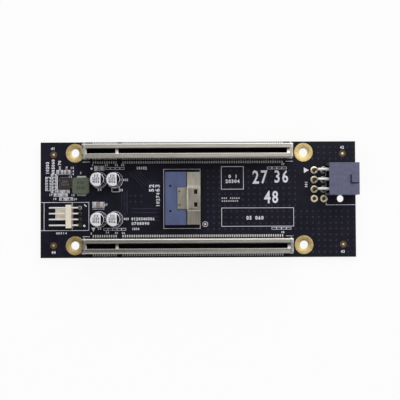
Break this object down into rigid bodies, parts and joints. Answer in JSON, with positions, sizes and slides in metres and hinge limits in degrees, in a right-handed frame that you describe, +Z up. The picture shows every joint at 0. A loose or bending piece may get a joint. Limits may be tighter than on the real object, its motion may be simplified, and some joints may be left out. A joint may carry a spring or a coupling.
{
  "type": "splitter card",
  "caption": "Flat dark circuit board that splits a cable link into armoured edge-card slots, with a right-angle power header, fan header, cable receptacle and corner mounting holes.",
  "frame": {"origin": "middle of the four mounting holes, on the underside of the board", "axes": "+X along the card slots towards the power header, +Y across the board, +Z up out of the component side"},
  "size_m": [0.1384, 0.0508, 0.014],
  "materials": {
    "armour_steel": "plain steel sheet",
    "blue_moulding": "blue-grey moulding",
    "can_aluminium": "coated can",
    "ceramic_body": "sintered ceramic",
    "chip_epoxy": "epoxy",
    "choke_ferrite": "pressed powder",
    "cream_moulding": "natural moulding",
    "gold_contact": "gold plate",
    "laminate": "dark solder mask",
    "resistor_body": "glazed alumina",
    "seal_rubber": "black rubber",
    "shell_steel": "nickel plate",
    "slate_moulding": "slate moulding",
    "slot_moulding": "black moulding",
    "tinned_contact": "tin plate",
    "tinned_lead": "tin plate",
    "tinned_pin": "tin plate"
  },
  "bodies": {
    "root": {"board": "laminate", "cable_block": "blue_moulding", "cable_contacts_bottom": "gold_contact", "cable_contacts_top": "gold_contact", "cable_shell": "shell_steel", "capacitor_1_base": "seal_rubber", "capacitor_1_can": "can_aluminium", "capacitor_1_leads": "tinned_lead", "capacitor_2_base": "seal_rubber", "capacitor_2_can": "can_aluminium", "capacitor_2_leads": "tinned_lead", "capacitor_3_base": "seal_rubber", "capacitor_3_can": "can_aluminium", "capacitor_3_leads": "tinned_lead", "capacitor_4_base": "seal_rubber", "capacitor_4_can": "can_aluminium", "capacitor_4_leads": "tinned_lead", "ceramic_1": "ceramic_body", "ceramic_2": "ceramic_body", "choke_core": "choke_ferrite", "choke_terminals": "tinned_lead", "fan_pin_1": "tinned_pin", "fan_pin_2": "tinned_pin", "fan_pin_3": "tinned_pin", "fan_pin_4": "tinned_pin", "fan_wafer": "cream_moulding", "filter_ceramics": "ceramic_body", "power_housing": "slate_moulding", "power_pin_lower_1": "tinned_pin", "power_pin_lower_2": "tinned_pin", "power_pin_lower_3": "tinned_pin", "power_pin_upper_1": "tinned_pin", "power_pin_upper_2": "tinned_pin", "power_pin_upper_3": "tinned_pin", "regulator_chip": "chip_epoxy", "resistors": "resistor_body", "slot_1_contacts_lower": "tinned_contact", "slot_1_contacts_upper": "tinned_contact", "slot_1_housing": "slot_moulding", "slot_1_shield": "armour_steel", "slot_2_contacts_lower": "tinned_contact", "slot_2_contacts_upper": "tinned_contact", "slot_2_housing": "slot_moulding", "slot_2_shield": "armour_steel", "small_ceramics": "ceramic_body"}
  },
  "joints": []
}
